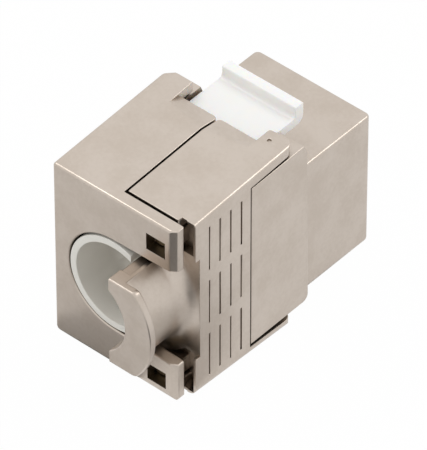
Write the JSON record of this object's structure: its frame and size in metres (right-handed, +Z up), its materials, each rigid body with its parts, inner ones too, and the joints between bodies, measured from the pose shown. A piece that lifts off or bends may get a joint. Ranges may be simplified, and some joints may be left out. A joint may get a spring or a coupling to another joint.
{
  "type": "keystone jack",
  "caption": "Shielded keystone jack: cast housing with two hinged rear doors, cable-tie saddle, snap-in latch and modular port.",
  "frame": {"origin": "centre of the bounding box's base, which is the lowest edge of the doors", "axes": "+Y towards the plug face, +Z up on the keystone latch's side, +X across"},
  "size_m": [0.0162, 0.0328, 0.0238],
  "materials": {
    "nickel_casting": "satin nickel-plated zinc casting",
    "white_plastic": "moulded, satin",
    "natural_plastic": "moulded, off-white",
    "grey_plastic": "moulded",
    "board": "solder mask on glass-epoxy laminate",
    "black_plastic": "moulded",
    "gold_contact": "gold-plated spring wire",
    "tin_contact": "tin-plated bronze",
    "steel_spring": "rolled strip"
  },
  "bodies": {
    "housing": {"front_housing": "nickel_casting", "jack_insert": "black_plastic", "terminal_block": "grey_plastic", "circuit_board": "board", "wire_manager": "natural_plastic", "left_shield_spring": "steel_spring", "right_shield_spring": "steel_spring", "jack_contact_1": "gold_contact", "jack_contact_2": "gold_contact", "jack_contact_3": "gold_contact", "jack_contact_4": "gold_contact", "jack_contact_5": "gold_contact", "jack_contact_6": "gold_contact", "jack_contact_7": "gold_contact", "jack_contact_8": "gold_contact", "idc_contact_1": "tin_contact", "idc_contact_2": "tin_contact", "idc_contact_3": "tin_contact", "idc_contact_4": "tin_contact", "idc_contact_5": "tin_contact", "idc_contact_6": "tin_contact", "idc_contact_7": "tin_contact", "idc_contact_8": "tin_contact"},
    "left_door": {"left_rear_door": "nickel_casting"},
    "right_door": {"right_rear_door": "nickel_casting"},
    "latch": {"keystone_latch": "white_plastic"}
  },
  "joints": [
    {"name": "left_door_hinge", "type": "hinge", "parent": "housing", "child": "left_door", "pos_m": [-0.00595, 0.00279, 0.0117], "axis": [0, 0, -1], "range_deg": [0, 90]},
    {"name": "right_door_hinge", "type": "hinge", "parent": "housing", "child": "right_door", "pos_m": [0.00595, 0.00279, 0.0117], "axis": [0, 0, 1], "range_deg": [0, 90]},
    {"name": "latch_flex", "type": "hinge", "parent": "housing", "child": "latch", "pos_m": [0, 0.00078, 0.02145], "axis": [-1, 0, 0], "range_deg": [0, 10], "stiffness_Nm_per_rad": 0.2}
  ],
  "couplings": [
    {"joint": "right_door_hinge", "follows": "left_door_hinge", "ratio": 1}
  ]
}
